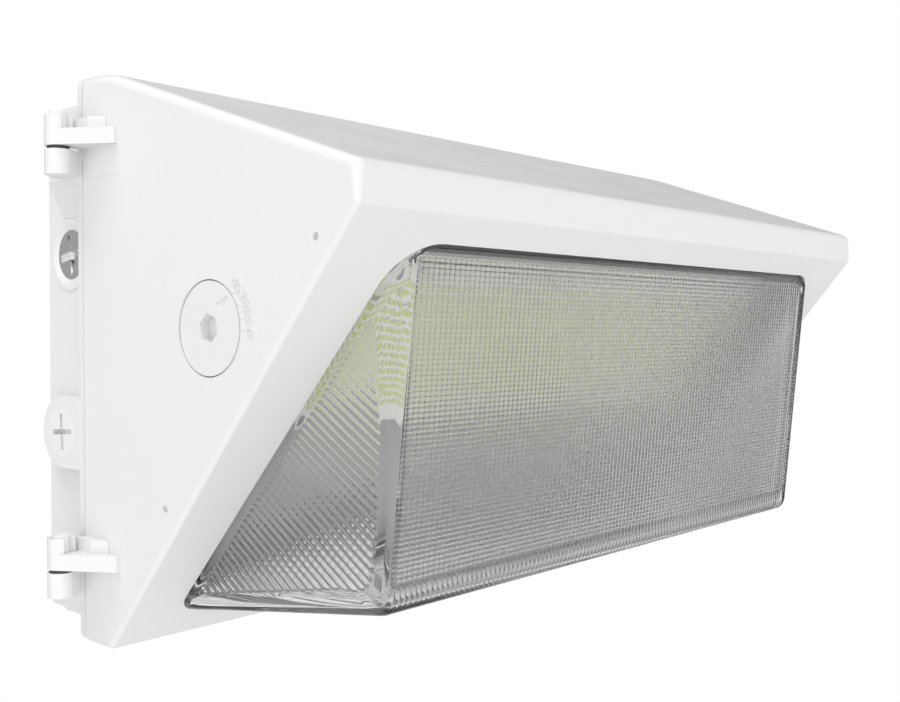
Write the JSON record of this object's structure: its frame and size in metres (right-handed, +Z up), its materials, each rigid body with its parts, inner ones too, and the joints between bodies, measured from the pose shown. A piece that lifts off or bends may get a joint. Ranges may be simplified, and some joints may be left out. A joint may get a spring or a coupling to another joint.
{
  "type": "wall pack light",
  "caption": "Hinged outdoor wall light: cast back box, sloped cover with a ribbed lens, and a light board inside that a dial on the side tilts from 45 degrees to straight down.",
  "frame": {"origin": "centre of the flat back face, where the box lies on the wall", "axes": "+Y points into the wall, +Z up, +X to the right as seen from the front; the hinges, plugs and tilt dial are on the -X side"},
  "size_m": [0.4497, 0.195, 0.235],
  "materials": {
    "white_coat": "white powder coat on die-cast aluminium, fine texture, satin",
    "foam_gasket": "closed-cell foam",
    "silicone_seal": "matt silicone",
    "plug_chrome": "bright plated steel",
    "white_plug": "white paint, satin",
    "nylon": "moulded nylon",
    "driver_case": "folded sheet, satin",
    "dark_case": "potted epoxy case",
    "zinc_steel": "zinc plated",
    "lead_sleeve": "extruded sleeve",
    "ground_green": "green plated screw",
    "lens_glass": "pressed prismatic borosilicate glass",
    "dark_rubber": "matt rubber",
    "pan_coat": "light grey coated sheet",
    "spring_steel": "blackened spring steel",
    "arm_steel": "zinc plated sheet",
    "tray_aluminium": "extruded, white coated",
    "board_mask": "white solder mask",
    "phosphor": "phosphor in clear silicone"
  },
  "bodies": {
    "back_box": {"rear_housing": "white_coat", "wall_gasket": "foam_gasket", "door_gasket": "silicone_seal", "conduit_plug": "plug_chrome", "port_plug": "white_plug", "hinge_pins": "white_plug", "hinge_washers": "nylon", "led_driver": "driver_case", "surge_protector": "dark_case", "terminal_block": "nylon", "component_screws": "zinc_steel", "driver_leads": "lead_sleeve", "ground_screw": "ground_green"},
    "cover": {"front_housing": "white_coat", "lens": "lens_glass", "lens_gasket": "silicone_seal", "lens_clips": "zinc_steel", "clip_screws": "zinc_steel", "closing_screws": "zinc_steel", "closing_washers": "dark_rubber", "reflector_pan": "pan_coat", "pan_screws": "zinc_steel", "dial_bush": "nylon", "pivot_pin": "zinc_steel"},
    "light_tray": {"tilt_dial": "white_coat", "dial_o_ring": "dark_rubber", "dial_circlip": "spring_steel", "dial_nut": "zinc_steel", "left_arm": "arm_steel", "right_arm": "arm_steel", "arm_screws": "zinc_steel", "pivot_bush": "nylon", "led_tray": "tray_aluminium", "led_board": "board_mask", "led_chips": "phosphor", "board_screws": "zinc_steel"}
  },
  "joints": [
    {"name": "door_hinge", "type": "hinge", "parent": "back_box", "child": "cover", "pos_m": [-0.2202, -0.03675, 0], "axis": [0, 0, -1], "range_deg": [0, 100]},
    {"name": "led_tilt", "type": "hinge", "parent": "cover", "child": "light_tray", "pos_m": [0, -0.1187, 0.0134], "axis": [1, 0, 0], "range_deg": [0, 45]}
  ]
}
